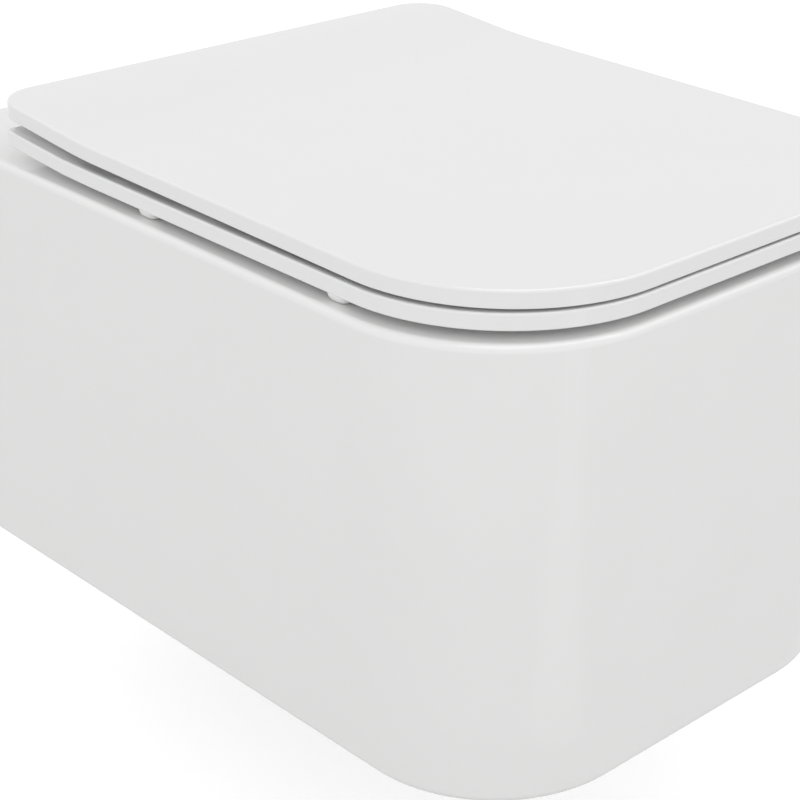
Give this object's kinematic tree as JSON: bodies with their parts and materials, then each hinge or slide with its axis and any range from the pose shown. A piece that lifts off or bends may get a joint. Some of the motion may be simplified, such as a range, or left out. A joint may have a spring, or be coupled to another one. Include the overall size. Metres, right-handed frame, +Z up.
{
  "type": "rimless toilet",
  "caption": "Wall-hung rimless toilet: white ceramic pan with open bowl and trap, slim soft-close seat ring and lid on quick-release hinges.",
  "frame": {"origin": "midway between the two wall bolts, on the plane of the wall", "axes": "+Z up; -Y out of the wall, towards the front edge of the pan; +X to the right of a person facing the front"},
  "size_m": [0.36, 0.511, 0.3245],
  "materials": {
    "vitreous_china": "white gloss glaze",
    "seat_plastic": "moulded white, high gloss",
    "cap_plastic": "moulded white, gloss",
    "button_plastic": "moulded light grey, gloss",
    "buffer_plastic": "soft white elastomer",
    "nylon": "moulded natural white",
    "seal_rubber": "black, matt",
    "polished_steel": "polished stainless",
    "damper_steel": "drawn tube",
    "zinc_steel": "zinc plated"
  },
  "bodies": {
    "root": {"ceramic_pan": "vitreous_china", "flush_diverter": "nylon", "inlet_seal": "seal_rubber", "wall_bracket_left": "zinc_steel", "wall_bracket_right": "zinc_steel", "bracket_washer_left": "zinc_steel", "bracket_washer_right": "zinc_steel", "bracket_nut_left": "zinc_steel", "bracket_nut_right": "zinc_steel", "screw_sleeve_left": "nylon", "screw_sleeve_right": "nylon", "side_screw_left": "zinc_steel", "side_screw_right": "zinc_steel", "cover_cap_left": "cap_plastic", "cover_cap_right": "cap_plastic", "plate_gasket_left": "seal_rubber", "plate_gasket_right": "seal_rubber", "mounting_plate_left": "polished_steel", "mounting_plate_right": "polished_steel", "fixing_stud_left": "zinc_steel", "fixing_stud_right": "zinc_steel", "expander_sleeve_left": "seal_rubber", "expander_sleeve_right": "seal_rubber", "cone_nut_left": "zinc_steel", "cone_nut_right": "zinc_steel"},
    "seat_carrier": {"hinge_housing_left": "polished_steel", "hinge_housing_right": "polished_steel", "hinge_pin_left": "zinc_steel", "hinge_pin_right": "zinc_steel", "latch_clip_left": "zinc_steel", "latch_clip_right": "zinc_steel", "button_spring_left": "zinc_steel", "button_spring_right": "zinc_steel"},
    "release_button_left": {"release_button_left": "button_plastic"},
    "release_button_right": {"release_button_right": "button_plastic"},
    "seat_ring": {"seat_ring": "seat_plastic", "ring_damper": "damper_steel", "ring_bush": "nylon", "ring_buffer_front_left": "buffer_plastic", "ring_buffer_front_right": "buffer_plastic", "ring_buffer_rear_left": "buffer_plastic", "ring_buffer_rear_right": "buffer_plastic"},
    "lid": {"lid": "seat_plastic", "lid_damper": "damper_steel", "lid_bush": "nylon", "lid_buffer_left": "buffer_plastic", "lid_buffer_right": "buffer_plastic"}
  },
  "joints": [
    {"name": "ring_hinge", "type": "hinge", "parent": "seat_carrier", "child": "seat_ring", "pos_m": [0, -0.085, 0.0975], "axis": [-1, 0, 0], "range_deg": [0, 95]},
    {"name": "lid_hinge", "type": "hinge", "parent": "seat_ring", "child": "lid", "pos_m": [0, -0.085, 0.0975], "axis": [1, 0, 0], "range_deg": [-98, 0]},
    {"name": "seat_lift_off", "type": "slide", "parent": "root", "child": "seat_carrier", "axis": [0, 0, 1], "range_m": [0, 0.03]},
    {"name": "button_press_left", "type": "slide", "parent": "seat_carrier", "child": "release_button_left", "axis": [0, 0, -1], "range_m": [0, 0.0018], "stiffness_N_per_m": 500, "springref_m": -0.001, "deforming": ["button_spring_left"]},
    {"name": "button_press_right", "type": "slide", "parent": "seat_carrier", "child": "release_button_right", "axis": [0, 0, -1], "range_m": [0, 0.0018], "stiffness_N_per_m": 500, "springref_m": -0.001, "deforming": ["button_spring_right"]}
  ]
}
